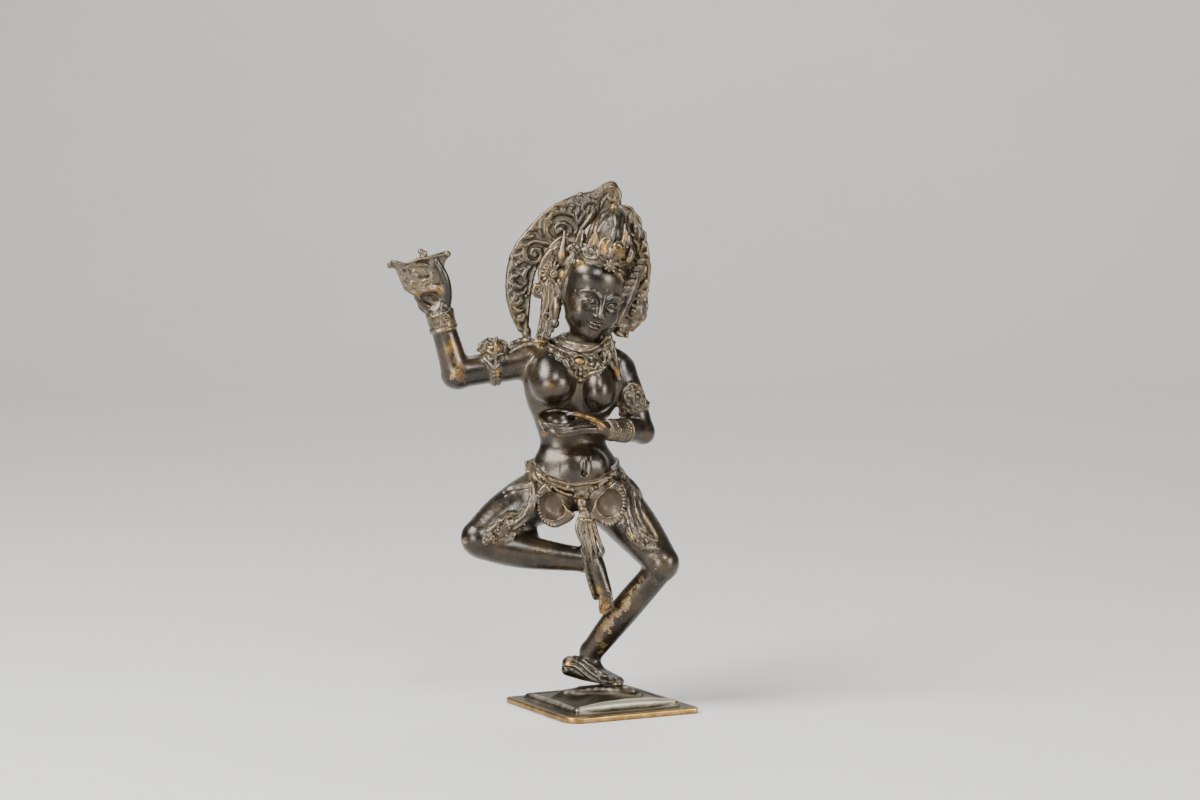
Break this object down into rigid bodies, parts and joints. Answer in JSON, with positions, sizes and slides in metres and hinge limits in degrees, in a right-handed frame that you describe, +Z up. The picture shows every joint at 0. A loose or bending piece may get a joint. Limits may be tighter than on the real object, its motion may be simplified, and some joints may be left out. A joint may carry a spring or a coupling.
{
  "type": "vajravarahi figure",
  "caption": "Bronze dancing goddess on one bent leg, the other drawn up, curved chopper raised, skull cup at the breast, scrolled aureole cast on behind the head, stepped square plinth.",
  "frame": {"origin": "middle of the plinth's underside, on the surface it stands on", "axes": "+Z up; the plinth's front edge faces -Y, the figure's right hand is to -X; the figure looks about 27 degrees clockwise of the plinth's front as seen from above"},
  "size_m": [0.1112, 0.0622, 0.2155],
  "materials": {
    "figure_bronze": "dark handled bronze, worn golden on the high points, dusty in the hollows",
    "plinth_bronze": "dull bronze with a polished plate edge"
  },
  "bodies": {
    "root": {"figure": "figure_bronze", "plinth": "plinth_bronze"}
  },
  "joints": []
}
